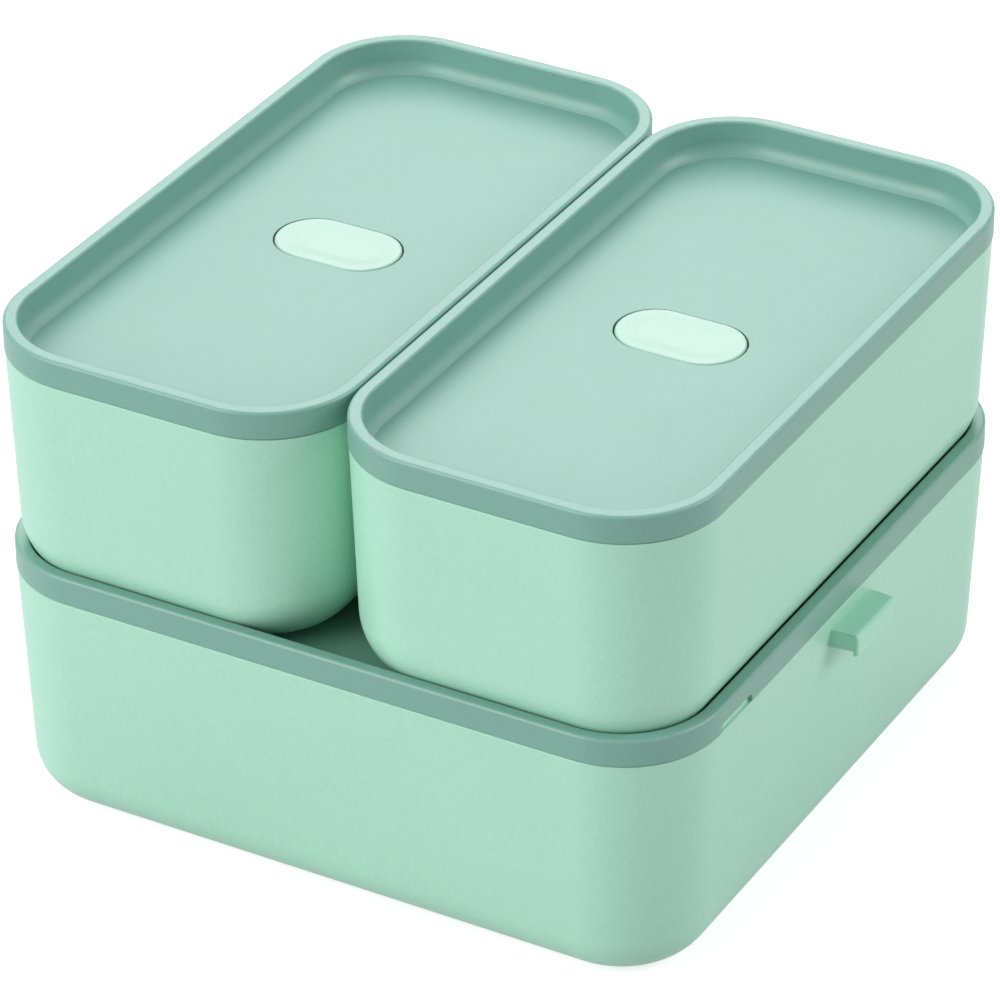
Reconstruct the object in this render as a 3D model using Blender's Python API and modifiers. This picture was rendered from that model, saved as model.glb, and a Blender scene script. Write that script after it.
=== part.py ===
"""Two-tier lunch box: a large lidded box with two slim lidded boxes nested in its lid.

Units are metres. +Z is up, +X runs along the front face and +Y goes away from the front.
The origin is on the ground under the middle of the large box.
"""

import math

import bmesh
import bpy
from mathutils import Matrix, Vector

# Large box, over its lid
BASE_WIDTH = 0.1800
BASE_DEPTH = 0.1800
BASE_BODY_HEIGHT = 0.0610
BASE_DRAFT = 0.0025
BASE_FOOT_RADIUS = 0.0120

# Small boxes
SMALL_BODY_HEIGHT = 0.0587
SMALL_DRAFT = 0.0020
SMALL_FOOT_RADIUS = 0.0159
PAIR_GAP = 0.0005
NEST_SIDE_GAP = 0.0006
NEST_END_GAP = 0.0002
NEST_FLOOR_GAP = 0.0003

# Walls that the three boxes share
CORNER_RADIUS = 0.0244
WALL = 0.00165
BOX_FLOOR = 0.0022
WALL_EDGE_RADIUS = 0.00035
INNER_FOOT_EASE = 0.0010
FOOT_PANEL_CORNER_RADIUS = 0.0020
FOOT_PANEL_STEP = 0.0035
FOOT_PANEL_RISE = 0.0005

# Lids
BAND_HEIGHT = 0.0068
SKIRT = 0.0008
SKIRT_PROUD = 0.0002
RIM_WIDTH = 0.0032
RIM_OUTER_RADIUS = 0.0009
RIM_INNER_RADIUS = 0.0005
SKIRT_EDGE_RADIUS = 0.00025
ROOF = 0.0018
RECESS_DEPTH = 0.0086
RECESS_DRAFT = 0.0001
COVE_RADIUS = 0.0045
COVE_FOOT_WIDTH = 0.0019
COVE_FOOT_RISE = 0.0015
LID_FLOOR = 0.0016
PLUG_TAPER = 0.0009
PLUG_EDGE_RADIUS = 0.0012
SLIP_GAP = 0.00015
LID_REST_GAP = 0.0003

# Silicone ring in the channel of each lid
SEAL_HEIGHT = 0.0012
SEAL_SIDE_GAP = 0.0001
SEAL_ROOF_GAP = 0.0001
SEAL_RIM_GAP = 0.0002
SEAL_EDGE_RADIUS = 0.0002

# Steam vent
VENT_CAP_LENGTH = 0.0315
VENT_CAP_WIDTH = 0.0195
VENT_CAP_THICKNESS = 0.0022
VENT_CAP_PROUD = 0.0002
VENT_CAP_EDGE_RADIUS = 0.0005
VENT_RING_WIDTH = 0.0022
VENT_DISH_SLOPE = 0.0030
VENT_DISH_DEPTH = 0.0010
VENT_DISH_RADIUS = 0.0012
VENT_DISH_MARGIN = 0.0008
VENT_POCKET_GAP = 0.00045
VENT_UNDER_GAP = 0.0003
VENT_WELL_WALL = 0.0014
VENT_WELL_FLOOR = 0.0014
VENT_HOLE_RADIUS = 0.0030
STEM_RADIUS = 0.0018
STEM_LIP_RADIUS = 0.0024
STEM_LIP_HEIGHT = 0.0006
STEM_GAP = 0.0001
GASKET_HEIGHT = 0.0015
GASKET_SIDE_GAP = 0.0001

# Catches on the side walls
CATCH_LENGTH = 0.0198
CATCH_REACH = 0.0068
CATCH_TOP_DROP = 0.0040
CATCH_THICKNESS = 0.0042
CATCH_ROOT_THICKNESS = 0.0048
CATCH_LIP_DROP = 0.0012
CATCH_LIP_WIDTH = 0.0011
CATCH_NOSE_RADIUS = 0.0011
CATCH_END_RADIUS = 0.0008
CATCH_EDGE_BEVEL = 0.0003
CATCH_ROOT = 0.0008
CATCH_SEAT_GAP = 0.00015

# Pry notch in the skirt of the large lid
NOTCH_LENGTH = 0.0146
NOTCH_HEIGHT = 0.0023
NOTCH_CORNER_RADIUS = 0.0010
NOTCH_FROM_CORNER = 0.0006

# Mesh counts
CORNER_STEPS = 8
ROUND_STEPS = 24
SMALL_ARC_STEPS = 2
END_ARC_STEPS = 4
LARGE_ARC_STEPS = 6
LARGE_ARC_RADIUS = 0.0025
WELD_DISTANCE = 0.000001
CUT_OVERSHOOT = 0.0010
SMOOTH_ANGLE = math.radians(35)

# Values that follow from the sizes above
FLAT_INSET = CORNER_RADIUS - FOOT_PANEL_CORNER_RADIUS
UPSTAND_INSET = SKIRT + SLIP_GAP
UPSTAND_HEIGHT = BAND_HEIGHT - ROOF - SEAL_ROOF_GAP - SEAL_HEIGHT - SEAL_RIM_GAP
INNER_INSET = SKIRT_PROUD + WALL
PLUG_INSET = INNER_INSET + SLIP_GAP
RECESS_FLOOR_HEIGHT = BAND_HEIGHT - RECESS_DEPTH
UNDERSIDE_HEIGHT = RECESS_FLOOR_HEIGHT - LID_FLOOR
POCKET_DEPTH = VENT_CAP_THICKNESS - VENT_CAP_PROUD + VENT_UNDER_GAP
WELL_DEPTH = POCKET_DEPTH + VENT_WELL_FLOOR

COLOURS = {
    "body": ((0.390, 0.740, 0.580), 0.25),
    "lid": ((0.210, 0.430, 0.350), 0.45),
    "vent": ((0.620, 0.880, 0.760), 0.35),
    "catch": ((0.390, 0.740, 0.580), 0.25),
    "silicone": ((0.720, 0.760, 0.740), 0.60),
}


def clear_scene():
    """Remove whatever the file holds, so that the script starts from nothing."""
    for obj in list(bpy.data.objects):
        bpy.data.objects.remove(obj, do_unlink=True)
    for collection in list(bpy.data.collections):
        bpy.data.collections.remove(collection)


def new_collection(name):
    collection = bpy.data.collections.new(name)
    bpy.context.scene.collection.children.link(collection)
    return collection


def make_material(name):
    colour, roughness = COLOURS[name]
    material = bpy.data.materials.new(name)
    material.use_nodes = True
    shader = material.node_tree.nodes["Principled BSDF"]
    shader.inputs["Base Color"].default_value = (*colour, 1.0)
    shader.inputs["Roughness"].default_value = roughness
    shader.inputs["Metallic"].default_value = 0.0
    return material


def finish_mesh(bm, name, collection, material=None):
    """Turn the bmesh into an object with smooth faces and sharp corners."""
    bmesh.ops.recalc_face_normals(bm, faces=bm.faces)
    mesh = bpy.data.meshes.new(name)
    bm.to_mesh(mesh)
    bm.free()
    mesh.shade_smooth()
    mesh.set_sharp_from_angle(angle=SMOOTH_ANGLE)
    obj = bpy.data.objects.new(name, mesh)
    collection.objects.link(obj)
    if material:
        mesh.materials.append(material)
    return obj


def place(obj, parent, location):
    obj.parent = parent
    obj.location = location


def rounded(corners):
    """Profile points of a polyline whose corners (inset, height, radius) are rounded by arcs."""
    points = []
    for index, (inset, height, radius) in enumerate(corners):
        here = Vector((inset, height))
        if radius == 0:
            points.append(here)
            continue
        before = (Vector(corners[index - 1][:2]) - here).normalized()
        after = (Vector(corners[(index + 1) % len(corners)][:2]) - here).normalized()
        half_angle = before.angle(after) / 2
        reach = radius / math.tan(half_angle)
        centre = here + (before + after).normalized() * radius / math.sin(half_angle)
        start = here + before * reach - centre
        sweep_angle = start.angle_signed(here + after * reach - centre)
        steps = LARGE_ARC_STEPS if radius >= LARGE_ARC_RADIUS else SMALL_ARC_STEPS
        for step in range(steps + 1):
            turned = start.copy()
            turned.rotate(Matrix.Rotation(-sweep_angle * step / steps, 2))
            points.append(centre + turned)
    return points


def extrude_profile(bm, edges, offset):
    """Extrude a chain of edges by an offset and return the edges at its far end."""
    if Vector(offset).length < WELD_DISTANCE:
        return edges
    grown = bmesh.ops.extrude_edge_only(bm, edges=edges)["geom"]
    verts = [item for item in grown if isinstance(item, bmesh.types.BMVert)]
    bmesh.ops.translate(bm, verts=verts, vec=offset)
    ends = set(verts)
    return [item for item in grown if isinstance(item, bmesh.types.BMEdge) and ends.issuperset(item.verts)]


def spin_profile(bm, edges, centre):
    """Turn a chain of edges a quarter of a turn about a corner and return the edges at its far end."""
    verts = list({vert for edge in edges for vert in edge.verts})
    spun = bmesh.ops.spin(
        bm,
        geom=verts + edges,
        cent=centre,
        axis=(0, 0, 1),
        dvec=(0, 0, 0),
        angle=math.pi / 2,
        steps=CORNER_STEPS,
    )
    return [item for item in spun["geom_last"] if isinstance(item, bmesh.types.BMEdge)]


def sweep(half_x, half_y, radius, points, is_ring=False):
    """Carry a profile round a rectangle with rounded corners; the ends are capped unless it is a ring."""
    bm = bmesh.new()
    core_x = half_x - radius
    core_y = half_y - radius
    verts = [bm.verts.new((half_x - inset, core_y, height)) for inset, height in points]
    pairs = list(zip(verts, verts[1:]))
    if is_ring:
        pairs.append((verts[-1], verts[0]))
    edges = [bm.edges.new(pair) for pair in pairs]
    for centre, side in (
        ((core_x, core_y, 0), (-2 * core_x, 0, 0)),
        ((-core_x, core_y, 0), (0, -2 * core_y, 0)),
        ((-core_x, -core_y, 0), (2 * core_x, 0, 0)),
        ((core_x, -core_y, 0), (0, 2 * core_y, 0)),
    ):
        edges = spin_profile(bm, edges, centre)
        edges = extrude_profile(bm, edges, side)
    bmesh.ops.remove_doubles(bm, verts=bm.verts, dist=WELD_DISTANCE)
    bmesh.ops.holes_fill(bm, edges=[edge for edge in bm.edges if edge.is_boundary], sides=0)
    return bm


def cylinder(radius, low, high):
    bm = bmesh.new()
    bmesh.ops.create_cone(
        bm, cap_ends=True, segments=ROUND_STEPS, radius1=radius, radius2=radius, depth=high - low
    )
    bmesh.ops.translate(bm, verts=bm.verts, vec=(0, 0, (low + high) / 2))
    return bm


def extrusion(points, depth):
    """Solid from a flat outline in X and Z, extruded along Y about its middle."""
    bm = bmesh.new()
    face = bm.faces.new([bm.verts.new((x, -depth / 2, z)) for x, z in points])
    grown = bmesh.ops.extrude_face_region(bm, geom=[face])["geom"]
    verts = [item for item in grown if isinstance(item, bmesh.types.BMVert)]
    bmesh.ops.translate(bm, verts=verts, vec=(0, depth, 0))
    return bm


def boolean(obj, other, operation):
    modifier = obj.modifiers.new(other.name, "BOOLEAN")
    modifier.operation = operation
    modifier.solver = "EXACT"
    modifier.object = other


def helper(bm, name, parent, location, helpers):
    """Cutter or addition for a Boolean, kept out of the render."""
    obj = finish_mesh(bm, name, helpers)
    obj.hide_render = True
    obj.display_type = "WIRE"
    place(obj, parent, location)
    return obj


def wall_slope(body_height, draft):
    return draft / body_height


def foot_inset(height, body_height, draft, foot_radius):
    """How far a box's outer face lies inside its lid's skirt, at a height within the rounded foot."""
    slope = wall_slope(body_height, draft)
    tilt = math.atan(slope)
    centre = SKIRT_PROUD + slope * (body_height - foot_radius) + foot_radius / math.cos(tilt)
    rise = max(foot_radius - height, 0)
    return centre - math.sqrt(foot_radius**2 - rise**2)


def box_profile(body_height, draft, foot_radius):
    """Box section from under the middle, out and up the wall, over the upstand and down the inside."""
    slope = wall_slope(body_height, draft)
    wall_top = body_height - LID_REST_GAP
    inner_radius = foot_radius - WALL - INNER_FOOT_EASE
    inner_foot = INNER_INSET + slope * (body_height - BOX_FLOOR)
    return rounded(
        [
            (FLAT_INSET, FOOT_PANEL_RISE, 0),
            (FLAT_INSET - FOOT_PANEL_STEP, 0, 0),
            (SKIRT_PROUD + draft, 0, foot_radius),
            (SKIRT_PROUD + slope * LID_REST_GAP, wall_top, WALL_EDGE_RADIUS),
            (UPSTAND_INSET, wall_top, 0),
            (UPSTAND_INSET, body_height + UPSTAND_HEIGHT, SEAL_EDGE_RADIUS),
            (INNER_INSET, body_height + UPSTAND_HEIGHT, SEAL_EDGE_RADIUS),
            (INNER_INSET, body_height, 0),
            (inner_foot, BOX_FLOOR, inner_radius),
            (FLAT_INSET, BOX_FLOOR, 0),
        ]
    )


def lid_profile():
    """Lid section from under the middle, out round the plug, channel and skirt, over the rim and in."""
    cove_inset = RIM_WIDTH + RECESS_DRAFT
    return rounded(
        [
            (FLAT_INSET, UNDERSIDE_HEIGHT, 0),
            (PLUG_INSET + PLUG_TAPER, UNDERSIDE_HEIGHT, PLUG_EDGE_RADIUS),
            (PLUG_INSET, 0, 0),
            (PLUG_INSET, BAND_HEIGHT - ROOF, 0),
            (SKIRT, BAND_HEIGHT - ROOF, 0),
            (SKIRT, 0, 0),
            (0, 0, SKIRT_EDGE_RADIUS),
            (0, BAND_HEIGHT, RIM_OUTER_RADIUS),
            (RIM_WIDTH, BAND_HEIGHT, RIM_INNER_RADIUS),
            (cove_inset, RECESS_FLOOR_HEIGHT + COVE_FOOT_RISE, COVE_RADIUS),
            (cove_inset + COVE_FOOT_WIDTH, RECESS_FLOOR_HEIGHT, 0),
            (FLAT_INSET, RECESS_FLOOR_HEIGHT, 0),
        ]
    )


def seal_profile():
    top = BAND_HEIGHT - ROOF - SEAL_ROOF_GAP
    outer = SKIRT + SEAL_SIDE_GAP
    inner = PLUG_INSET - SEAL_SIDE_GAP
    bottom = top - SEAL_HEIGHT
    return rounded(
        [
            (outer, bottom, SEAL_EDGE_RADIUS),
            (outer, top, SEAL_EDGE_RADIUS),
            (inner, top, SEAL_EDGE_RADIUS),
            (inner, bottom, SEAL_EDGE_RADIUS),
        ]
    )


def vent_cap_profile():
    """Oval cap section, with a flat ring round a shallow dish; height 0 is the lid's sunken floor."""
    bottom = VENT_CAP_PROUD - VENT_CAP_THICKNESS
    dish_edge = VENT_RING_WIDTH + VENT_DISH_SLOPE
    dish_floor = VENT_CAP_PROUD - VENT_DISH_DEPTH
    middle = dish_edge + VENT_DISH_MARGIN
    return rounded(
        [
            (middle, bottom, 0),
            (0, bottom, VENT_CAP_EDGE_RADIUS),
            (0, VENT_CAP_PROUD, VENT_CAP_EDGE_RADIUS),
            (VENT_RING_WIDTH, VENT_CAP_PROUD, VENT_DISH_RADIUS),
            (dish_edge, dish_floor, VENT_DISH_RADIUS),
            (middle, dish_floor, 0),
        ]
    )


def oval(grow, low, high):
    """Upright oval prism, larger all round than the vent cap by the given amount."""
    half_x = VENT_CAP_LENGTH / 2 + grow
    half_y = VENT_CAP_WIDTH / 2 + grow
    middle = half_y / 2
    return sweep(half_x, half_y, half_y, [(middle, low), (0, low), (0, high), (middle, high)])


def add_box(name, width, depth, body_height, draft, foot_radius, parts, material):
    profile = box_profile(body_height, draft, foot_radius)
    bm = sweep(width / 2, depth / 2, CORNER_RADIUS, profile)
    return finish_mesh(bm, name, parts, material)


def add_lid(name, width, depth, parts, material):
    """Lid whose origin is at the height of its skirt's lower edge."""
    bm = sweep(width / 2, depth / 2, CORNER_RADIUS, lid_profile())
    return finish_mesh(bm, name, parts, material)


def cut_vent_well(lid, helpers):
    """Well under the middle of the lid's floor for the vent cap, with a hole for its stem."""
    floor = RECESS_FLOOR_HEIGHT
    middle = floor - LID_FLOOR / 2
    well = oval(VENT_POCKET_GAP + VENT_WELL_WALL, floor - WELL_DEPTH, middle)
    pocket = oval(VENT_POCKET_GAP, floor - POCKET_DEPTH, floor + CUT_OVERSHOOT)
    hole = cylinder(VENT_HOLE_RADIUS, floor - WELL_DEPTH - CUT_OVERSHOOT, middle)
    boolean(lid, helper(well, lid.name + "_well", lid, (0, 0, 0), helpers), "UNION")
    boolean(lid, helper(pocket, lid.name + "_pocket", lid, (0, 0, 0), helpers), "DIFFERENCE")
    boolean(lid, helper(hole, lid.name + "_vent_hole", lid, (0, 0, 0), helpers), "DIFFERENCE")


def add_seal(name, width, depth, lid, parts, material):
    bm = sweep(width / 2, depth / 2, CORNER_RADIUS, seal_profile(), is_ring=True)
    place(finish_mesh(bm, name, parts, material), lid, (0, 0, 0))


def add_vent(prefix, lid, parts, helpers, cap_material, gasket_material):
    """Cap with its stem, and the gasket on the stem; both have their origin on the lid's sunken floor."""
    floor = (0, 0, RECESS_FLOOR_HEIGHT)
    half_y = VENT_CAP_WIDTH / 2
    cap = finish_mesh(
        sweep(VENT_CAP_LENGTH / 2, half_y, half_y, vent_cap_profile()),
        prefix + "_vent_cap",
        parts,
        cap_material,
    )
    place(cap, lid, floor)
    underside = VENT_CAP_PROUD - VENT_CAP_THICKNESS
    root = underside + (VENT_CAP_THICKNESS - VENT_DISH_DEPTH) / 2
    gasket_top = -POCKET_DEPTH
    gasket_bottom = gasket_top - GASKET_HEIGHT
    lip_top = gasket_bottom - STEM_GAP
    lip_bottom = lip_top - STEM_LIP_HEIGHT
    stem = cylinder(STEM_RADIUS, lip_top - STEM_LIP_HEIGHT / 2, root)
    lip = cylinder(STEM_LIP_RADIUS, lip_bottom, lip_top)
    boolean(cap, helper(stem, prefix + "_stem", cap, (0, 0, 0), helpers), "UNION")
    boolean(cap, helper(lip, prefix + "_stem_lip", cap, (0, 0, 0), helpers), "UNION")
    inner = STEM_RADIUS + STEM_GAP
    outer = VENT_HOLE_RADIUS - GASKET_SIDE_GAP
    corners = [
        (0, gasket_bottom, SEAL_EDGE_RADIUS),
        (0, gasket_top, SEAL_EDGE_RADIUS),
        (outer - inner, gasket_top, 0),
        (outer - inner, gasket_bottom, 0),
    ]
    bm = sweep(outer, outer, outer, rounded(corners), is_ring=True)
    place(finish_mesh(bm, prefix + "_vent_gasket", parts, gasket_material), lid, floor)


def catch_section():
    """Hook outline in X and Z, from the wall's outer face at x = 0; height 0 is the hook's flat top."""
    slope = wall_slope(BASE_BODY_HEIGHT, BASE_DRAFT)
    return rounded(
        [
            (-CATCH_ROOT - slope * CATCH_ROOT_THICKNESS, -CATCH_ROOT_THICKNESS, 0),
            (0, -CATCH_ROOT_THICKNESS, 0),
            (CATCH_REACH - CATCH_LIP_WIDTH, -CATCH_THICKNESS, 0),
            (CATCH_REACH - CATCH_LIP_WIDTH, -CATCH_THICKNESS - CATCH_LIP_DROP, 0),
            (CATCH_REACH, -CATCH_THICKNESS - CATCH_LIP_DROP, 0),
            (CATCH_REACH, 0, CATCH_NOSE_RADIUS),
            (-CATCH_ROOT, 0, 0),
        ]
    )


def seat_section():
    """Outline of the shallow seat in the wall, larger than the hook's root by the seat gap."""
    slope = wall_slope(BASE_BODY_HEIGHT, BASE_DRAFT)
    depth = -CATCH_ROOT - CATCH_SEAT_GAP
    top = CATCH_SEAT_GAP
    bottom = -CATCH_ROOT_THICKNESS - CATCH_SEAT_GAP
    return [
        (depth + slope * bottom, bottom),
        (CUT_OVERSHOOT, bottom),
        (CUT_OVERSHOOT, top),
        (depth + slope * top, top),
    ]


def on_outer_face(vert):
    """Whether a point of the hook section is on its outer face or on the rounded nose above it."""
    nose = CATCH_REACH - CATCH_NOSE_RADIUS - WELD_DISTANCE
    low = -CATCH_NOSE_RADIUS - WELD_DISTANCE
    return vert.co.x > CATCH_REACH - WELD_DISTANCE or (vert.co.x > nose and vert.co.z > low)


def hook_block():
    """Hook section drawn out along the wall, with its outer edges rounded at both ends."""
    bm = extrusion(catch_section(), CATCH_LENGTH)
    edges = [
        edge
        for edge in bm.edges
        if all(map(on_outer_face, edge.verts))
        and abs(edge.verts[0].co.y - edge.verts[1].co.y) < WELD_DISTANCE
    ]
    bmesh.ops.bevel(
        bm,
        geom=edges,
        offset=CATCH_END_RADIUS,
        offset_type="OFFSET",
        segments=END_ARC_STEPS,
        profile=0.5,
        affect="EDGES",
    )
    return bm


def add_catch(name, side, base_box, parts, helpers, material):
    """Hook block let into the side wall of the large box; side is +1 on the right and -1 on the left."""
    slope = wall_slope(BASE_BODY_HEIGHT, BASE_DRAFT)
    wall_x = BASE_WIDTH / 2 - SKIRT_PROUD - slope * CATCH_TOP_DROP
    location = (side * wall_x, 0, BASE_BODY_HEIGHT - CATCH_TOP_DROP)
    turn = 0 if side > 0 else math.pi
    hook = finish_mesh(hook_block(), name, parts, material)
    bevel = hook.modifiers.new("edges", "BEVEL")
    bevel.width = CATCH_EDGE_BEVEL
    bevel.segments = SMALL_ARC_STEPS
    bevel.limit_method = "ANGLE"
    seat_length = CATCH_LENGTH + 2 * CATCH_SEAT_GAP
    seat = helper(extrusion(seat_section(), seat_length), name + "_seat", base_box, location, helpers)
    place(hook, base_box, location)
    hook.rotation_euler.z = turn
    seat.rotation_euler.z = turn
    boolean(base_box, seat, "DIFFERENCE")


def cut_pry_notch(lid, helpers):
    """Notch in the lower edge of the skirt, on the right side next to the front corner."""
    reach = SKIRT + SLIP_GAP / 2
    outer = BASE_WIDTH / 2 + CUT_OVERSHOOT
    inner = BASE_WIDTH / 2 - reach
    start = -BASE_DEPTH / 2 + CORNER_RADIUS + NOTCH_FROM_CORNER
    end = start + NOTCH_LENGTH
    outline = rounded(
        [
            (start, -CUT_OVERSHOOT, 0),
            (end, -CUT_OVERSHOOT, 0),
            (end, NOTCH_HEIGHT, NOTCH_CORNER_RADIUS),
            (start, NOTCH_HEIGHT, NOTCH_CORNER_RADIUS),
        ]
    )
    bm = extrusion(outline, outer - inner)
    cutter = helper(bm, "pry_notch", lid, ((outer + inner) / 2, 0, 0), helpers)
    cutter.rotation_euler.z = math.pi / 2
    boolean(lid, cutter, "DIFFERENCE")


def build():
    clear_scene()
    parts = new_collection("lunch_box")
    helpers = new_collection("helpers")
    material = {name: make_material(name) for name in COLOURS}

    base_box = add_box(
        "base_box",
        BASE_WIDTH,
        BASE_DEPTH,
        BASE_BODY_HEIGHT,
        BASE_DRAFT,
        BASE_FOOT_RADIUS,
        parts,
        material["body"],
    )
    for name, side in (("catch_right", 1), ("catch_left", -1)):
        add_catch(name, side, base_box, parts, helpers, material["catch"])

    base_lid = add_lid("base_lid", BASE_WIDTH, BASE_DEPTH, parts, material["lid"])
    place(base_lid, base_box, (0, 0, BASE_BODY_HEIGHT))
    cut_pry_notch(base_lid, helpers)
    add_seal("base_lid_seal", BASE_WIDTH, BASE_DEPTH, base_lid, parts, material["silicone"])

    rim_inset = foot_inset(
        RECESS_DEPTH - NEST_FLOOR_GAP, SMALL_BODY_HEIGHT, SMALL_DRAFT, SMALL_FOOT_RADIUS
    )
    overhang = rim_inset - RIM_WIDTH
    small_width = BASE_WIDTH / 2 + overhang - NEST_SIDE_GAP - PAIR_GAP / 2
    small_depth = BASE_DEPTH + 2 * (overhang - NEST_END_GAP)
    for prefix, side in (("left", -1), ("right", 1)):
        box = add_box(
            prefix + "_box",
            small_width,
            small_depth,
            SMALL_BODY_HEIGHT,
            SMALL_DRAFT,
            SMALL_FOOT_RADIUS,
            parts,
            material["body"],
        )
        centre_x = side * (small_width + PAIR_GAP) / 2
        place(box, base_lid, (centre_x, 0, RECESS_FLOOR_HEIGHT + NEST_FLOOR_GAP))
        lid = add_lid(prefix + "_lid", small_width, small_depth, parts, material["lid"])
        place(lid, box, (0, 0, SMALL_BODY_HEIGHT))
        cut_vent_well(lid, helpers)
        add_seal(prefix + "_lid_seal", small_width, small_depth, lid, parts, material["silicone"])
        add_vent(prefix, lid, parts, helpers, material["vent"], material["silicone"])


build()
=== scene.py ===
"""Looks for the two-tier lunch box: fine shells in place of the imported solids, plastics, light and camera.

Units are metres. +Z is up, the front of the box faces -Y and the pry notch is on the +X side. A section is
a list of points (inset, height): inset is measured inwards from a piece's outline seen from above.
"""

import math

import bmesh
import bpy
from mathutils import Matrix, Vector


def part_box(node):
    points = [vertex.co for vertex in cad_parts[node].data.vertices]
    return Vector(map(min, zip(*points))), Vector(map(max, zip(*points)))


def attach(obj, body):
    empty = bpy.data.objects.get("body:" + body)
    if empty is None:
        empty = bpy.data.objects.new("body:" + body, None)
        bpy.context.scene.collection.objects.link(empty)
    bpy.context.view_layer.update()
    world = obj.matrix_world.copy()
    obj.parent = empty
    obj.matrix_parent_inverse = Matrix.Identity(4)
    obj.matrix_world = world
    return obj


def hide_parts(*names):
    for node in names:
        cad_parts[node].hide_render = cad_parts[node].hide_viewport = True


# Corners and walls of the boxes
CORNER_RADIUS = 0.0244
WALL = 0.00165
SKIRT_PROUD = 0.0002
BOX_FLOOR = 0.0022
INNER_FOOT_EASE = 0.0010
FLAT_INSET = 0.0224
FOOT_PANEL_STEP = 0.0035
FOOT_PANEL_RISE = 0.0005
WALL_EDGE_RADIUS = 0.00035
BASE_BODY_HEIGHT = 0.0610
BASE_SHAPE = {"draft": 0.0025, "foot_radius": 0.0120}
SMALL_SHAPE = {"draft": 0.0020, "foot_radius": 0.0159}

# Lids
BAND_HEIGHT = 0.0068
SKIRT = 0.0008
LARGE_RIM_WIDTH = 0.0032
SMALL_RIM_WIDTH = 0.0034
RIM_OUTER_RADIUS = 0.0008
RIM_INNER_RADIUS = 0.0006
LARGE_RIM_SIDE_EXTRA = 0.00025
SKIRT_EDGE_RADIUS = 0.00025
ROOF = 0.0018
RECESS_DEPTH = 0.0086
RECESS_DRAFT = 0.0001
COVE_RADIUS = 0.0045
COVE_FOOT_WIDTH = 0.0019
COVE_FOOT_RISE = 0.0015
LID_FLOOR = 0.0016
PLUG_TAPER = 0.0009
PLUG_EDGE_RADIUS = 0.0012
SLIP_GAP = 0.00015
LID_REST_GAP = 0.0003

# Silicone ring in the channel of each lid
SEAL_HEIGHT = 0.0012
SEAL_SIDE_GAP = 0.0001
SEAL_ROOF_GAP = 0.0001
SEAL_RIM_GAP = 0.0002
SEAL_EDGE_RADIUS = 0.0002

# Steam vent
VENT_CAP_THICKNESS = 0.0022
VENT_CAP_PROUD = 0.0002
VENT_CAP_EDGE_RADIUS = 0.0005
VENT_RING_WIDTH = 0.0022
VENT_DISH_SLOPE = 0.0030
VENT_DISH_DEPTH = 0.00025
VENT_DISH_RADIUS = 0.0012
VENT_DISH_MARGIN = 0.0008
VENT_END_GAP = 0.00045
VENT_SIDE_GAP = 0.00015
VENT_UNDER_GAP = 0.0003
VENT_WELL_WALL = 0.0014
VENT_WELL_FLOOR = 0.0014
VENT_HOLE_RADIUS = 0.0030
STEM_RADIUS = 0.0018
STEM_LIP_RADIUS = 0.0024
STEM_LIP_HEIGHT = 0.0006
STEM_GAP = 0.0001
GASKET_HEIGHT = 0.0015

# Catches on the side walls
CATCH_REACH = 0.0068
CATCH_THICKNESS = 0.0042
CATCH_ROOT_THICKNESS = 0.0048
CATCH_LIP_DROP = 0.0012
CATCH_LIP_WIDTH = 0.0011
CATCH_NOSE_RADIUS = 0.0011
CATCH_END_RADIUS = 0.0008
CATCH_EDGE_BEVEL = 0.0003
CATCH_ROOT = 0.0008

# Pry notch in the skirt of the large lid
NOTCH_LENGTH = 0.0146
NOTCH_HEIGHT = 0.0023
NOTCH_CORNER_RADIUS = 0.0010
NOTCH_FROM_CORNER = 0.0006

# Mesh counts
CORNER_STEPS = 24
ROUND_STEPS = 48
SMALL_ARC_STEPS = 5
END_ARC_STEPS = 6
LARGE_ARC_STEPS = 14
LARGE_ARC_RADIUS = 0.0025
WELD_DISTANCE = 0.000001
CUT_OVERSHOOT = 0.0010
SMOOTH_ANGLE = math.radians(35)

# Values that follow from the sizes above
UPSTAND_INSET = SKIRT + SLIP_GAP
UPSTAND_HEIGHT = BAND_HEIGHT - ROOF - SEAL_ROOF_GAP - SEAL_HEIGHT - SEAL_RIM_GAP
INNER_INSET = SKIRT_PROUD + WALL
PLUG_INSET = INNER_INSET + SLIP_GAP
RECESS_FLOOR_HEIGHT = BAND_HEIGHT - RECESS_DEPTH
UNDERSIDE_HEIGHT = RECESS_FLOOR_HEIGHT - LID_FLOOR
POCKET_DEPTH = VENT_CAP_THICKNESS - VENT_CAP_PROUD + VENT_UNDER_GAP
WELL_DEPTH = POCKET_DEPTH + VENT_WELL_FLOOR

# Base colours of the plastics
MINT = (0.43, 0.765, 0.605)
SAGE = (0.190, 0.400, 0.330)
PALE_MINT = (0.390, 0.610, 0.515)
# The catches are the same mint plastic as the body; this greener, more saturated copy is painted shade and
# green bounce light on them
CATCH_MINT_PAINTED_SHADE = (0.405, 0.79, 0.615)
PALE_SILICONE = (0.70, 0.76, 0.73)
WHITE = (1.0, 1.0, 1.0)

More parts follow.
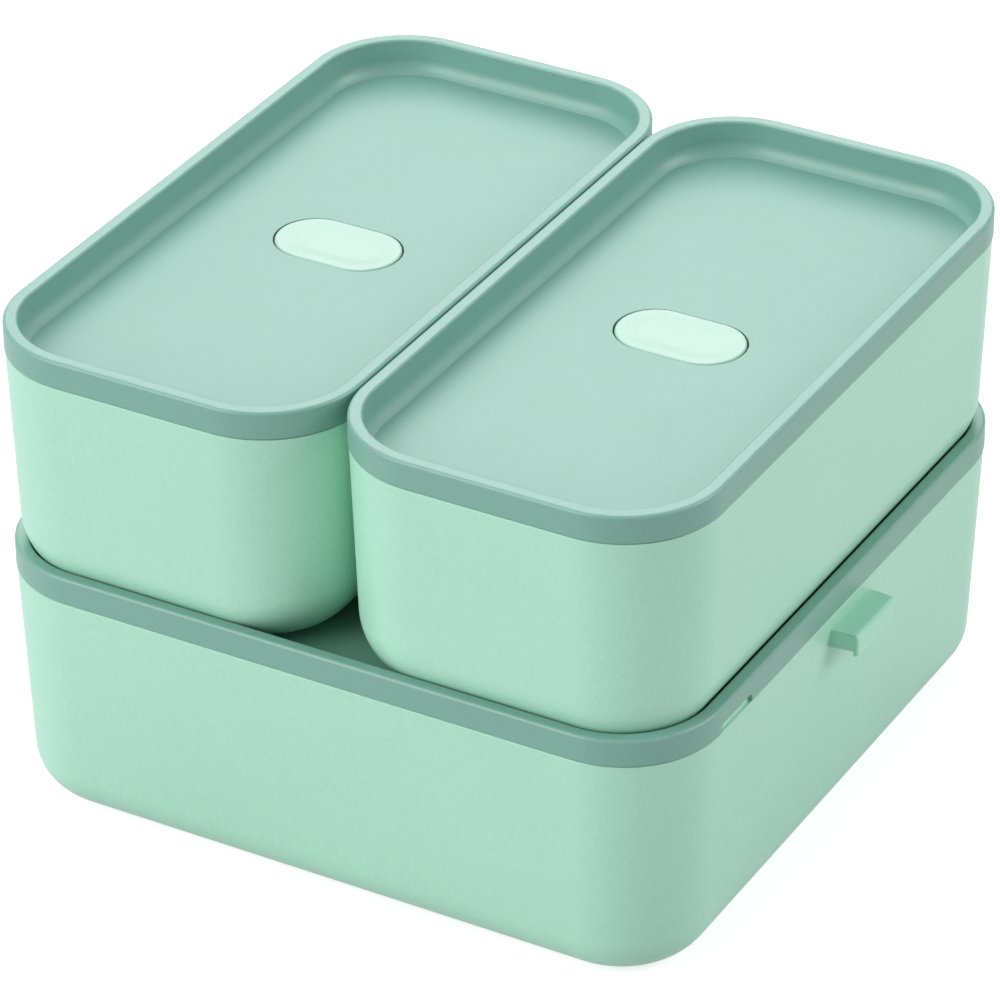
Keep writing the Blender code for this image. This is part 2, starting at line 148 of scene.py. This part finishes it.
# Surface detail of the plastics. A noise has its scale per metre, its detail and, if it isn't 0.5, its
# roughness. A spread is how far a tone goes either way, as a part of the colour, or how far the gloss goes.
NOISE_LOW = 0.3
NOISE_HIGH = 0.7
CLOUD_NOISE = (22.0, 3.0)
CLOUD_SPREAD = 0.015
MOTTLE_NOISE = (1100.0, 3.0, 0.65)
MOTTLE_SPREAD = 0.035
GLOSS_NOISE = (90.0, 4.0)
GLOSS_SPREAD = 0.012
GRAIN_NOISE = (2600.0, 2.0)
GRAIN_STRENGTH = 0.5
WAVE_NOISE = (14.0, 1.0)
WAVE_STRENGTH = 0.15
SPECK_SCALE = 330.0
SPECK_CORE = 0.05
SPECK_EDGE = 0.09
SPECK_TONE_NOISE = (150.0, 0.0)
SPECK_TONE_LOW = 0.4
SPECK_TONE_HIGH = 0.6
SPECK_TONES = (0.6, 1.3)

# Faces of a lid that lean up by more than this take the recess's finish
FACES_UP = 0.01

# Camera, as fitted to the photograph
CAMERA_POSITION = (0.5555, -0.9903, 0.7537)
CAMERA_AZIMUTH = math.radians(29.385)
CAMERA_ELEVATION = math.radians(31.426)
CAMERA_ROLL = math.radians(-0.339)
CAMERA_LENS = 203.9
CAMERA_SENSOR = 36.0
CAMERA_CLIP_START = 0.01

# Light: each softbox has its direction from the middle of the object, distance, width, height and power
AMBIENT = 0.30
LIT_POINT = Vector((0, 0, 0.1))
SOFTBOXES = {
    "back_softbox": ((-0.385, 0.685, 0.618), 1.8, 0.9, 1.1, 9.7),
    "key_softbox": ((-0.43, -0.77, 0.48), 2.4, 1.6, 1.8, 40.0),
    "side_softbox": ((0.77, 0.36, 0.46), 2.2, 1.2, 1.2, 20.5),
    "top_softbox": ((-0.26, 0.18, 0.95), 1.8, 1.1, 1.1, 8.4),
}

# Floor, with its own glow for rays straight from the camera and for those that gloss mirrors
FLOOR_HALF_SIZE = 1.3
FLOOR_GREY = 0.60
FLOOR_ROUGHNESS = 0.8
FLOOR_SPECULAR = 0.1
FLOOR_SEEN_GLOW = 0.70
FLOOR_MIRRORED_GLOW = 0.36


def rounded(corners):
    """Profile points of a polyline whose corners (inset, height, radius) are rounded by arcs."""
    points = []
    for index, (inset, height, radius) in enumerate(corners):
        here = Vector((inset, height))
        if radius == 0:
            points.append(here)
            continue
        before = (Vector(corners[index - 1][:2]) - here).normalized()
        after = (Vector(corners[(index + 1) % len(corners)][:2]) - here).normalized()
        half_angle = before.angle(after) / 2
        reach = radius / math.tan(half_angle)
        centre = here + (before + after).normalized() * radius / math.sin(half_angle)
        start = here + before * reach - centre
        sweep_angle = start.angle_signed(here + after * reach - centre)
        steps = LARGE_ARC_STEPS if radius >= LARGE_ARC_RADIUS else SMALL_ARC_STEPS
        for step in range(steps + 1):
            turned = start.copy()
            turned.rotate(Matrix.Rotation(-sweep_angle * step / steps, 2))
            points.append(centre + turned)
    return points


def extrude_profile(bm, edges, offset):
    """Extrude a chain of edges by an offset and return the edges at its far end."""
    if Vector(offset).length < WELD_DISTANCE:
        return edges
    grown = bmesh.ops.extrude_edge_only(bm, edges=edges)["geom"]
    verts = [item for item in grown if isinstance(item, bmesh.types.BMVert)]
    bmesh.ops.translate(bm, verts=verts, vec=offset)
    ends = set(verts)
    return [
        item
        for item in grown
        if isinstance(item, bmesh.types.BMEdge) and ends.issuperset(item.verts)
    ]


def spin_profile(bm, edges, centre):
    """Turn a chain of edges a quarter of a turn about a corner and return the edges at its far end."""
    verts = list({vert for edge in edges for vert in edge.verts})
    spun = bmesh.ops.spin(
        bm,
        geom=verts + edges,
        cent=centre,
        axis=(0, 0, 1),
        dvec=(0, 0, 0),
        angle=math.pi / 2,
        steps=CORNER_STEPS,
    )
    return [item for item in spun["geom_last"] if isinstance(item, bmesh.types.BMEdge)]


def sweep(half_x, half_y, radius, points, is_ring=False):
    """Carry a profile round a rectangle with rounded corners; the ends are capped unless it is a ring."""
    bm = bmesh.new()
    core_x = half_x - radius
    core_y = half_y - radius
    verts = [bm.verts.new((half_x - inset, core_y, height)) for inset, height in points]
    pairs = list(zip(verts, verts[1:]))
    if is_ring:
        pairs.append((verts[-1], verts[0]))
    edges = [bm.edges.new(pair) for pair in pairs]
    for centre, side in (
        ((core_x, core_y, 0), (-2 * core_x, 0, 0)),
        ((-core_x, core_y, 0), (0, -2 * core_y, 0)),
        ((-core_x, -core_y, 0), (2 * core_x, 0, 0)),
        ((core_x, -core_y, 0), (0, 2 * core_y, 0)),
    ):
        edges = spin_profile(bm, edges, centre)
        edges = extrude_profile(bm, edges, side)
    bmesh.ops.remove_doubles(bm, verts=bm.verts, dist=WELD_DISTANCE)
    bmesh.ops.holes_fill(bm, edges=[edge for edge in bm.edges if edge.is_boundary], sides=0)
    return bm


def cylinder(radius, low, high):
    """Upright round solid on the Z axis, between two heights."""
    bm = bmesh.new()
    bmesh.ops.create_cone(
        bm, cap_ends=True, segments=ROUND_STEPS, radius1=radius, radius2=radius, depth=high - low
    )
    bmesh.ops.translate(bm, verts=bm.verts, vec=(0, 0, (low + high) / 2))
    return bm


def extrusion(points, depth):
    """Solid from a flat outline in X and Z, extruded along Y about its middle."""
    bm = bmesh.new()
    face = bm.faces.new([bm.verts.new((x, -depth / 2, z)) for x, z in points])
    grown = bmesh.ops.extrude_face_region(bm, geom=[face])["geom"]
    verts = [item for item in grown if isinstance(item, bmesh.types.BMVert)]
    bmesh.ops.translate(bm, verts=verts, vec=(0, depth, 0))
    return bm


def new_object(bm, name, place):
    """Object at the origin whose mesh the matrix has moved to its place."""
    bmesh.ops.recalc_face_normals(bm, faces=bm.faces)
    bmesh.ops.transform(bm, matrix=place, verts=bm.verts)
    mesh = bpy.data.meshes.new(name)
    bm.to_mesh(mesh)
    bm.free()
    obj = bpy.data.objects.new(name, mesh)
    bpy.context.scene.collection.objects.link(obj)
    return obj


def cut(obj, bm, operation, place):
    """Boolean with a throwaway solid, applied at once."""
    other = new_object(bm, obj.name + "_tool", place)
    modifier = obj.modifiers.new("cut", "BOOLEAN")
    modifier.operation = operation
    modifier.solver = "EXACT"
    modifier.object = other
    apply_modifiers(obj)
    bpy.data.objects.remove(other, do_unlink=True)


def apply_modifiers(obj):
    """Keep what the object's modifiers make as its mesh, and drop the modifiers."""
    bpy.context.view_layer.update()
    graph = bpy.context.evaluated_depsgraph_get()
    mesh = bpy.data.meshes.new_from_object(obj.evaluated_get(graph))
    obj.modifiers.clear()
    obj.data = mesh


def weld(obj):
    """Join points that a bevel has left in the same place."""
    bm = bmesh.new()
    bm.from_mesh(obj.data)
    bmesh.ops.remove_doubles(bm, verts=bm.verts, dist=WELD_DISTANCE)
    bmesh.ops.dissolve_degenerate(bm, edges=bm.edges, dist=WELD_DISTANCE)
    bm.to_mesh(obj.data)
    bm.free()


def smooth(obj):
    """Smooth shading that keeps flat faces flat and sharp corners sharp."""
    obj.data.shade_smooth()
    obj.data.set_sharp_from_angle(angle=SMOOTH_ANGLE)
    modifier = obj.modifiers.new("weighted", "WEIGHTED_NORMAL")
    modifier.keep_sharp = True
    modifier.weight = 100
    apply_modifiers(obj)


def dress(obj, node, body, material):
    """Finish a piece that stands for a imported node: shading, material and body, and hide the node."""
    smooth(obj)
    obj.data.materials.clear()
    obj.data.materials.append(material)
    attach(obj, body)
    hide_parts(node)
    return obj


def wall_slope(body_height, draft):
    """How far a box's wall leans inwards for each metre that it goes down."""
    return draft / body_height


def box_profile(body_height, draft, foot_radius):
    """Box section from under the middle, out and up the wall, over the upstand and down the inside."""
    slope = wall_slope(body_height, draft)
    wall_top = body_height - LID_REST_GAP
    inner_radius = foot_radius - WALL - INNER_FOOT_EASE
    inner_foot = INNER_INSET + slope * (body_height - BOX_FLOOR)
    return rounded(
        [
            (FLAT_INSET, FOOT_PANEL_RISE, 0),
            (FLAT_INSET - FOOT_PANEL_STEP, 0, 0),
            (SKIRT_PROUD + draft, 0, foot_radius),
            (SKIRT_PROUD + slope * LID_REST_GAP, wall_top, WALL_EDGE_RADIUS),
            (UPSTAND_INSET, wall_top, 0),
            (UPSTAND_INSET, body_height + UPSTAND_HEIGHT, SEAL_EDGE_RADIUS),
            (INNER_INSET, body_height + UPSTAND_HEIGHT, SEAL_EDGE_RADIUS),
            (INNER_INSET, body_height, 0),
            (inner_foot, BOX_FLOOR, inner_radius),
            (FLAT_INSET, BOX_FLOOR, 0),
        ]
    )


def lid_profile(rim_width):
    """Lid section from under the middle, out round the plug, channel and skirt, over the rim and in."""
    cove_inset = rim_width + RECESS_DRAFT
    return rounded(
        [
            (FLAT_INSET, UNDERSIDE_HEIGHT, 0),
            (PLUG_INSET + PLUG_TAPER, UNDERSIDE_HEIGHT, PLUG_EDGE_RADIUS),
            (PLUG_INSET, 0, 0),
            (PLUG_INSET, BAND_HEIGHT - ROOF, 0),
            (SKIRT, BAND_HEIGHT - ROOF, 0),
            (SKIRT, 0, 0),
            (0, 0, SKIRT_EDGE_RADIUS),
            (0, BAND_HEIGHT, RIM_OUTER_RADIUS),
            (rim_width, BAND_HEIGHT, RIM_INNER_RADIUS),
            (cove_inset, RECESS_FLOOR_HEIGHT + COVE_FOOT_RISE, COVE_RADIUS),
            (cove_inset + COVE_FOOT_WIDTH, RECESS_FLOOR_HEIGHT, 0),
            (FLAT_INSET, RECESS_FLOOR_HEIGHT, 0),
        ]
    )


def seal_profile():
    """Section of the silicone ring in a lid's channel."""
    top = BAND_HEIGHT - ROOF - SEAL_ROOF_GAP
    outer = SKIRT + SEAL_SIDE_GAP
    inner = PLUG_INSET - SEAL_SIDE_GAP
    bottom = top - SEAL_HEIGHT
    return rounded(
        [
            (outer, bottom, SEAL_EDGE_RADIUS),
            (outer, top, SEAL_EDGE_RADIUS),
            (inner, top, SEAL_EDGE_RADIUS),
            (inner, bottom, SEAL_EDGE_RADIUS),
        ]
    )


def vent_cap_profile():
    """Vent cap section, with a flat ring round a shallow dish; height 0 is the lid's sunken floor."""
    bottom = VENT_CAP_PROUD - VENT_CAP_THICKNESS
    dish_edge = VENT_RING_WIDTH + VENT_DISH_SLOPE
    dish_floor = VENT_CAP_PROUD - VENT_DISH_DEPTH
    middle = dish_edge + VENT_DISH_MARGIN
    return rounded(
        [
            (middle, bottom, 0),
            (0, bottom, VENT_CAP_EDGE_RADIUS),
            (0, VENT_CAP_PROUD, VENT_CAP_EDGE_RADIUS),
            (VENT_RING_WIDTH, VENT_CAP_PROUD, VENT_DISH_RADIUS),
            (dish_edge, dish_floor, VENT_DISH_RADIUS),
            (middle, dish_floor, 0),
        ]
    )


def oval(half_x, half_y, low, high):
    """Solid with the outline of a vent cap, between two heights."""
    middle = half_y / 2
    return sweep(half_x, half_y, half_y, [(middle, low), (0, low), (0, high), (middle, high)])


def spans(node):
    """Middle, half width and half depth of a node seen from above, and its lowest and highest points."""
    low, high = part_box(node)
    middle = (low + high) / 2
    return middle.x, middle.y, (high.x - low.x) / 2, (high.y - low.y) / 2, low.z, high.z


def box_outset(profile):
    """How far the lid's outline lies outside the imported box."""
    return min(point.x for point in profile)


def add_box(node, shape, body, material):
    """Open box whose lid's skirt stands a little proud of it."""
    x, y, half_x, half_y, low, high = spans(node)
    profile = box_profile(high - low - UPSTAND_HEIGHT, shape["draft"], shape["foot_radius"])
    outset = box_outset(profile)
    bm = sweep(half_x + outset, half_y + outset, CORNER_RADIUS, profile)
    obj = new_object(bm, node + "_shell", Matrix.Translation((x, y, low)))
    return dress(obj, node, body, material)


def widen_side_rims(bm, half_x, half_y, rim_width, extra):
    """Move the two halves of a lid's recess towards each other, so that its side rims grow wider."""
    lowest = RECESS_FLOOR_HEIGHT - WELD_DISTANCE
    outermost = rim_width - 2 * RIM_INNER_RADIUS
    for vert in bm.verts:
        beyond_core = Vector(
            (
                max(abs(vert.co.x) - half_x + CORNER_RADIUS, 0),
                max(abs(vert.co.y) - half_y + CORNER_RADIUS, 0),
            )
        )
        inset = CORNER_RADIUS - beyond_core.length
        if inset > outermost and vert.co.z > lowest:
            vert.co.x -= math.copysign(extra, vert.co.x)


def add_lid(node, rim_width, side_extra, body, slot, material, tools):
    """Lid with a sunken floor; each tool is a solid, a Boolean operation and a place on the lid."""
    x, y, half_x, half_y, _, high = spans(node)
    place = Matrix.Translation((x, y, high - BAND_HEIGHT))
    bm = sweep(half_x, half_y, CORNER_RADIUS, lid_profile(rim_width))
    if side_extra:
        widen_side_rims(bm, half_x, half_y, rim_width, side_extra)
    obj = new_object(bm, node + "_shell", place)
    for bm, operation, offset in tools:
        cut(obj, bm, operation, place @ offset)
    return dress(obj, node, body, material)


def vent_tools(cap):
    """Tools that make the well, the pocket and the stem's hole under a vent cap in a small lid."""
    _, _, half_x, half_y, _, _ = spans(cap)
    floor = RECESS_FLOOR_HEIGHT
    middle = floor - LID_FLOOR / 2
    pocket_x = half_x + VENT_END_GAP
    pocket_y = half_y + VENT_SIDE_GAP
    well_x = pocket_x + VENT_WELL_WALL
    well_y = pocket_y + VENT_WELL_WALL
    here = Matrix.Identity(4)
    return [
        (oval(well_x, well_y, floor - WELL_DEPTH, middle), "UNION", here),
        (oval(pocket_x, pocket_y, floor - POCKET_DEPTH, floor + CUT_OVERSHOOT), "DIFFERENCE", here),
        (cylinder(VENT_HOLE_RADIUS, floor - WELL_DEPTH - CUT_OVERSHOOT, middle), "DIFFERENCE", here),
    ]


def notch_tools(half_x, half_y):
    """Tool that cuts the pry notch, on the right side next to the front corner."""
    reach = SKIRT + SLIP_GAP / 2
    outer = half_x + CUT_OVERSHOOT
    inner = half_x - reach
    start = -half_y + CORNER_RADIUS + NOTCH_FROM_CORNER
    end = start + NOTCH_LENGTH
    outline = rounded(
        [
            (start, -CUT_OVERSHOOT, 0),
            (end, -CUT_OVERSHOOT, 0),
            (end, NOTCH_HEIGHT, NOTCH_CORNER_RADIUS),
            (start, NOTCH_HEIGHT, NOTCH_CORNER_RADIUS),
        ]
    )
    offset = Matrix.Translation(((outer + inner) / 2, 0, 0)) @ Matrix.Rotation(math.pi / 2, 4, "Z")
    return [(extrusion(outline, outer - inner), "DIFFERENCE", offset)]


def add_seal(node, lid_node, body, material):
    """Silicone ring in the channel of a lid."""
    x, y, half_x, half_y, _, high = spans(lid_node)
    place = Matrix.Translation((x, y, high - BAND_HEIGHT))
    bm = sweep(half_x, half_y, CORNER_RADIUS, seal_profile(), is_ring=True)
    return dress(new_object(bm, node + "_ring", place), node, body, material)


def add_vent_cap(node, body, material):
    """Oval cap with the stem under it, and the lip that holds the gasket on the stem."""
    x, y, half_x, half_y, _, high = spans(node)
    place = Matrix.Translation((x, y, high - VENT_CAP_PROUD))
    obj = new_object(sweep(half_x, half_y, half_y, vent_cap_profile()), node + "_shell", place)
    root = VENT_CAP_PROUD - VENT_CAP_THICKNESS + (VENT_CAP_THICKNESS - VENT_DISH_DEPTH) / 2
    lip_top = -POCKET_DEPTH - GASKET_HEIGHT - STEM_GAP
    cut(obj, cylinder(STEM_RADIUS, lip_top - STEM_LIP_HEIGHT / 2, root), "UNION", place)
    cut(obj, cylinder(STEM_LIP_RADIUS, lip_top - STEM_LIP_HEIGHT, lip_top), "UNION", place)
    return dress(obj, node, body, material)


def add_vent_gasket(node, body, material):
    """Silicone collar on the stem of a vent cap."""
    x, y, half_x, _, low, high = spans(node)
    width = half_x - STEM_RADIUS - STEM_GAP
    corners = [
        (0, 0, SEAL_EDGE_RADIUS),
        (0, high - low, SEAL_EDGE_RADIUS),
        (width, high - low, 0),
        (width, 0, 0),
    ]
    bm = sweep(half_x, half_x, half_x, rounded(corners), is_ring=True)
    obj = new_object(bm, node + "_ring", Matrix.Translation((x, y, low)))
    return dress(obj, node, body, material)


def on_outer_face(vert):
    """Whether a point of the hook section is on its outer face or on the rounded nose above it."""
    nose = CATCH_REACH - CATCH_NOSE_RADIUS - WELD_DISTANCE
    low = -CATCH_NOSE_RADIUS - WELD_DISTANCE
    return vert.co.x > CATCH_REACH - WELD_DISTANCE or (vert.co.x > nose and vert.co.z > low)


def hook_block(length):
    """Hook section drawn out along the wall, with its outer edges rounded at both ends."""
    slope = wall_slope(BASE_BODY_HEIGHT, BASE_SHAPE["draft"])
    tip = -CATCH_THICKNESS - CATCH_LIP_DROP
    outline = rounded(
        [
            (-CATCH_ROOT - slope * CATCH_ROOT_THICKNESS, -CATCH_ROOT_THICKNESS, 0),
            (0, -CATCH_ROOT_THICKNESS, 0),
            (CATCH_REACH - CATCH_LIP_WIDTH, -CATCH_THICKNESS, 0),
            (CATCH_REACH - CATCH_LIP_WIDTH, tip, 0),
            (CATCH_REACH, tip, 0),
            (CATCH_REACH, 0, CATCH_NOSE_RADIUS),
            (-CATCH_ROOT, 0, 0),
        ]
    )
    bm = extrusion(outline, length)
    edges = [
        edge
        for edge in bm.edges
        if all(map(on_outer_face, edge.verts))
        and abs(edge.verts[0].co.y - edge.verts[1].co.y) < WELD_DISTANCE
    ]
    bmesh.ops.bevel(
        bm,
        geom=edges,
        offset=CATCH_END_RADIUS,
        offset_type="OFFSET",
        segments=END_ARC_STEPS,
        profile=0.5,
        affect="EDGES",
    )
    return bm


def add_catch(node, side, body, material):
    """Hook block on a side wall, with its root let into the wall; side is +1 on the right."""
    low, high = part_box(node)
    outer = high.x if side > 0 else low.x
    turn = Matrix.Identity(4) if side > 0 else Matrix.Rotation(math.pi, 4, "Z")
    place = Matrix.Translation((outer - side * CATCH_REACH, (low.y + high.y) / 2, high.z)) @ turn
    obj = new_object(hook_block(high.y - low.y), node + "_hook", place)
    bevel = obj.modifiers.new("edges", "BEVEL")
    bevel.width = CATCH_EDGE_BEVEL
    bevel.segments = SMALL_ARC_STEPS
    bevel.limit_method = "ANGLE"
    apply_modifiers(obj)
    weld(obj)
    return dress(obj, node, body, material)


def link(tree, start, end):
    tree.links.new(start, end)


def noise(tree, coordinates, scale, detail, roughness=0.5):
    node = tree.nodes.new("ShaderNodeTexNoise")
    node.inputs["Scale"].default_value = scale
    node.inputs["Detail"].default_value = detail
    node.inputs["Roughness"].default_value = roughness
    link(tree, coordinates, node.inputs["Vector"])
    return node.outputs["Fac"]


def ramp(tree, value, low, high, low_colour, high_colour):
    node = tree.nodes.new("ShaderNodeValToRGB")
    node.color_ramp.elements[0].position = low
    node.color_ramp.elements[0].color = (*low_colour, 1)
    node.color_ramp.elements[1].position = high
    node.color_ramp.elements[1].color = (*high_colour, 1)
    link(tree, value, node.inputs["Fac"])
    return node.outputs["Color"]


def remap(tree, value, low, high, to_low, to_high):
    node = tree.nodes.new("ShaderNodeMapRange")
    for name, number in (("From Min", low), ("From Max", high), ("To Min", to_low), ("To Max", to_high)):
        node.inputs[name].default_value = number
    link(tree, value, node.inputs["Value"])
    return node.outputs["Result"]


def mix_colour(tree, factor, first, second, blend="MIX"):
    node = tree.nodes.new("ShaderNodeMix")
    node.data_type = "RGBA"
    node.blend_type = blend
    if isinstance(factor, float):
        node.inputs["Factor"].default_value = factor
    else:
        link(tree, factor, node.inputs["Factor"])
    link(tree, first, node.inputs[6])
    link(tree, second, node.inputs[7])
    return node.outputs[2]


def bump(tree, height, strength, distance, normal=None):
    node = tree.nodes.new("ShaderNodeBump")
    node.inputs["Strength"].default_value = strength
    node.inputs["Distance"].default_value = distance
    link(tree, height, node.inputs["Height"])
    if normal is not None:
        link(tree, normal, node.inputs["Normal"])
    return node.outputs["Normal"]


def scaled(colour, factor):
    return tuple(channel * factor for channel in colour)


def varied(tree, value, colour, spread):
    """Colour that a noise value turns a little darker and lighter."""
    return ramp(
        tree, value, NOISE_LOW, NOISE_HIGH, scaled(colour, 1 - spread), scaled(colour, 1 + spread)
    )


def add_specks(tree, coordinates, tone, colour, strength):
    """Mix small darker and lighter dots into a tone."""
    dots = tree.nodes.new("ShaderNodeTexVoronoi")
    dots.inputs["Scale"].default_value = SPECK_SCALE
    link(tree, coordinates, dots.inputs["Vector"])
    mask = remap(tree, dots.outputs["Distance"], SPECK_CORE, SPECK_EDGE, strength, 0.0)
    dark, light = (scaled(colour, factor) for factor in SPECK_TONES)
    patches = noise(tree, coordinates, *SPECK_TONE_NOISE)
    speck = ramp(tree, patches, SPECK_TONE_LOW, SPECK_TONE_HIGH, dark, light)
    return mix_colour(tree, mask, tone, speck)


def plastic(name, colour, roughness, specular=0.5, specks=0.0, grain=0.000004, waves=0.0004):
    """Moulded plastic: faint cloudiness in colour and gloss, slight waves, a fine grain and a few specks."""
    material = bpy.data.materials.new(name)
    material.use_nodes = True
    tree = material.node_tree
    shader = tree.nodes["Principled BSDF"]
    shader.inputs["Specular IOR Level"].default_value = specular
    coordinates = tree.nodes.new("ShaderNodeTexCoord").outputs["Object"]
    cloud = varied(tree, noise(tree, coordinates, *CLOUD_NOISE), colour, CLOUD_SPREAD)
    mottle = varied(tree, noise(tree, coordinates, *MOTTLE_NOISE), WHITE, MOTTLE_SPREAD)
    tone = mix_colour(tree, 1.0, cloud, mottle, "MULTIPLY")
    if specks:
        tone = add_specks(tree, coordinates, tone, colour, specks)
    link(tree, tone, shader.inputs["Base Color"])
    gloss = noise(tree, coordinates, *GLOSS_NOISE)
    low, high = roughness - GLOSS_SPREAD, roughness + GLOSS_SPREAD
    link(tree, remap(tree, gloss, NOISE_LOW, NOISE_HIGH, low, high), shader.inputs["Roughness"])
    wavy = bump(tree, noise(tree, coordinates, *WAVE_NOISE), WAVE_STRENGTH, waves)
    fine = noise(tree, coordinates, *GRAIN_NOISE)
    link(tree, bump(tree, fine, GRAIN_STRENGTH, grain, wavy), shader.inputs["Normal"])
    return material


def make_materials():
    return {
        "body": plastic("mint_plastic", MINT, 0.34),
        "lid": plastic("sage_plastic", SAGE, 0.36, specular=0.6, waves=0.00015),
        "lid_floor": plastic(
            "sage_fine_texture",
            SAGE,
            0.42,
            specular=0.68,
            specks=0.45,
            grain=0.000025,
        ),
        # The catch's greener mint is painted shade and bounce light, not a plastic of its own
        "catch": plastic("mint_catch_painted_shade", CATCH_MINT_PAINTED_SHADE, 0.26),
        "vent": plastic("pale_mint_plastic", PALE_MINT, 0.32),
        "silicone": plastic("pale_silicone", PALE_SILICONE, 0.6),
    }


def texture_recess(obj, material):
    """Give the floor, the cove and the walls of a lid's recess their own finer finish."""
    obj.data.materials.append(material)
    top = max(vert.co.z for vert in obj.data.vertices)
    low = top - RECESS_DEPTH - WELD_DISTANCE
    high = top - RIM_INNER_RADIUS
    middle = (middle_along(obj.data.vertices, 0), middle_along(obj.data.vertices, 1))
    for face in obj.data.polygons:
        outward = Vector((face.center.x - middle[0], face.center.y - middle[1], 0))
        faces_in = face.normal.z > FACES_UP or face.normal.dot(outward) < 0
        if low < face.center.z < high and faces_in:
            face.material_index = 1


def middle_along(vertices, axis):
    """Half way between the lowest and the highest coordinate on an axis."""
    values = [vert.co[axis] for vert in vertices]
    return (min(values) + max(values)) / 2


def add_pieces(material):
    """Large box, catches and large lid, then each small box with its lid and vent."""
    add_box("base_box", BASE_SHAPE, "large_box", material["body"])
    add_catch("catch_right", 1, "large_box", material["catch"])
    add_catch("catch_left", -1, "large_box", material["catch"])
    _, _, half_x, half_y, _, _ = spans("base_lid")
    tools = notch_tools(half_x, half_y)
    sizes = (LARGE_RIM_WIDTH, LARGE_RIM_SIDE_EXTRA)
    lid = add_lid("base_lid", *sizes, "large_lid", "lid", material["lid"], tools)
    texture_recess(lid, material["lid_floor"])
    add_seal("base_lid_seal", "base_lid", "large_lid", material["silicone"])
    for side in ("left", "right"):
        add_box(side + "_box", SMALL_SHAPE, "small_box_" + side, material["body"])
        cap = side + "_vent_cap"
        tools = vent_tools(cap)
        lid = add_lid(side + "_lid", SMALL_RIM_WIDTH, 0, "small_lid_" + side, "lid", material["lid"], tools)
        texture_recess(lid, material["lid_floor"])
        add_seal(side + "_lid_seal", side + "_lid", "small_lid_" + side, material["silicone"])
        add_vent_cap(cap, "vent_" + side, material["vent"])
        add_vent_gasket(side + "_vent_gasket", "vent_" + side, material["silicone"])


def add_camera():
    """Camera at the photograph's viewing angle."""
    back = Vector(
        (
            math.sin(CAMERA_AZIMUTH) * math.cos(CAMERA_ELEVATION),
            -math.cos(CAMERA_AZIMUTH) * math.cos(CAMERA_ELEVATION),
            math.sin(CAMERA_ELEVATION),
        )
    )
    level = Vector((math.cos(CAMERA_AZIMUTH), math.sin(CAMERA_AZIMUTH), 0))
    right = Matrix.Rotation(CAMERA_ROLL, 3, back) @ level
    up = back.cross(right)
    data = bpy.data.cameras.new("photo_camera")
    data.lens = CAMERA_LENS
    data.sensor_width = CAMERA_SENSOR
    data.clip_start = CAMERA_CLIP_START
    camera = bpy.data.objects.new("photo_camera", data)
    camera.matrix_world = Matrix((right, up, back)).transposed().to_4x4()
    camera.location = CAMERA_POSITION
    bpy.context.scene.collection.objects.link(camera)
    bpy.context.scene.camera = camera


def add_softbox(name, direction, distance, width, height, power):
    """Softbox at a distance from the lit point, facing it."""
    data = bpy.data.lights.new(name, "AREA")
    data.shape = "RECTANGLE"
    data.size = width
    data.size_y = height
    data.energy = power
    light = bpy.data.objects.new(name, data)
    position = LIT_POINT + Vector(direction).normalized() * distance
    aim = LIT_POINT - position
    light.matrix_world = aim.to_track_quat("-Z", "Y").to_matrix().to_4x4()
    light.location = position
    bpy.context.scene.collection.objects.link(light)


def strength_by_ray(tree, camera, mirrored, diffuse):
    """Strength for rays straight from the camera, for those off gloss or glass, and for diffuse light."""
    rays = tree.nodes.new("ShaderNodeLightPath")
    total = None
    for name, strength in (
        ("Is Camera Ray", camera),
        ("Is Glossy Ray", mirrored),
        ("Is Transmission Ray", mirrored),
    ):
        level = remap(tree, rays.outputs[name], 0, 1, diffuse, strength)
        if total is None:
            total = level
            continue
        node = tree.nodes.new("ShaderNodeMath")
        node.operation = "MAXIMUM"
        link(tree, total, node.inputs[0])
        link(tree, level, node.inputs[1])
        total = node.outputs[0]
    return total


def add_world(ambient):
    """White as a background and in reflections, and a weaker even light on the object."""
    world = bpy.data.worlds.new("studio")
    bpy.context.scene.world = world
    world.use_nodes = True
    tree = world.node_tree
    background = tree.nodes["Background"]
    background.inputs["Color"].default_value = (1, 1, 1, 1)
    link(tree, strength_by_ray(tree, 1.0, 1.0, ambient), background.inputs["Strength"])


def add_floor():
    """Pale floor that reads as white away from the object and keeps the object's shadow."""
    bm = bmesh.new()
    bmesh.ops.create_grid(bm, x_segments=1, y_segments=1, size=FLOOR_HALF_SIZE)
    floor = new_object(bm, "floor", Matrix.Identity(4))
    material = bpy.data.materials.new("pale_floor")
    material.use_nodes = True
    tree = material.node_tree
    shader = tree.nodes["Principled BSDF"]
    shader.inputs["Base Color"].default_value = (FLOOR_GREY, FLOOR_GREY, FLOOR_GREY, 1)
    shader.inputs["Roughness"].default_value = FLOOR_ROUGHNESS
    shader.inputs["Specular IOR Level"].default_value = FLOOR_SPECULAR
    shader.inputs["Emission Color"].default_value = (1, 1, 1, 1)
    glow = strength_by_ray(tree, FLOOR_SEEN_GLOW, FLOOR_MIRRORED_GLOW, 0.0)
    link(tree, glow, shader.inputs["Emission Strength"])
    floor.data.materials.append(material)


def add_lights():
    """One behind on the left, which the lids mirror, a key in front on the left, one right and one above."""
    for name, settings in SOFTBOXES.items():
        add_softbox(name, *settings)


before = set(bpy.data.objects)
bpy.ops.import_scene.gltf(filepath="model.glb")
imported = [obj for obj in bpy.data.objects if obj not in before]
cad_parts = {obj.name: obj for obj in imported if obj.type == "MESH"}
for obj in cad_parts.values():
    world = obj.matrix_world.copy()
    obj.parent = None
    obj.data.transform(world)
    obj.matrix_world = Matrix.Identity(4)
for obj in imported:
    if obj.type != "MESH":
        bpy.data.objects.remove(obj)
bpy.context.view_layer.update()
add_pieces(make_materials())
add_floor()
add_world(AMBIENT)
add_lights()
add_camera()
bpy.context.scene.view_settings.view_transform = "Standard"
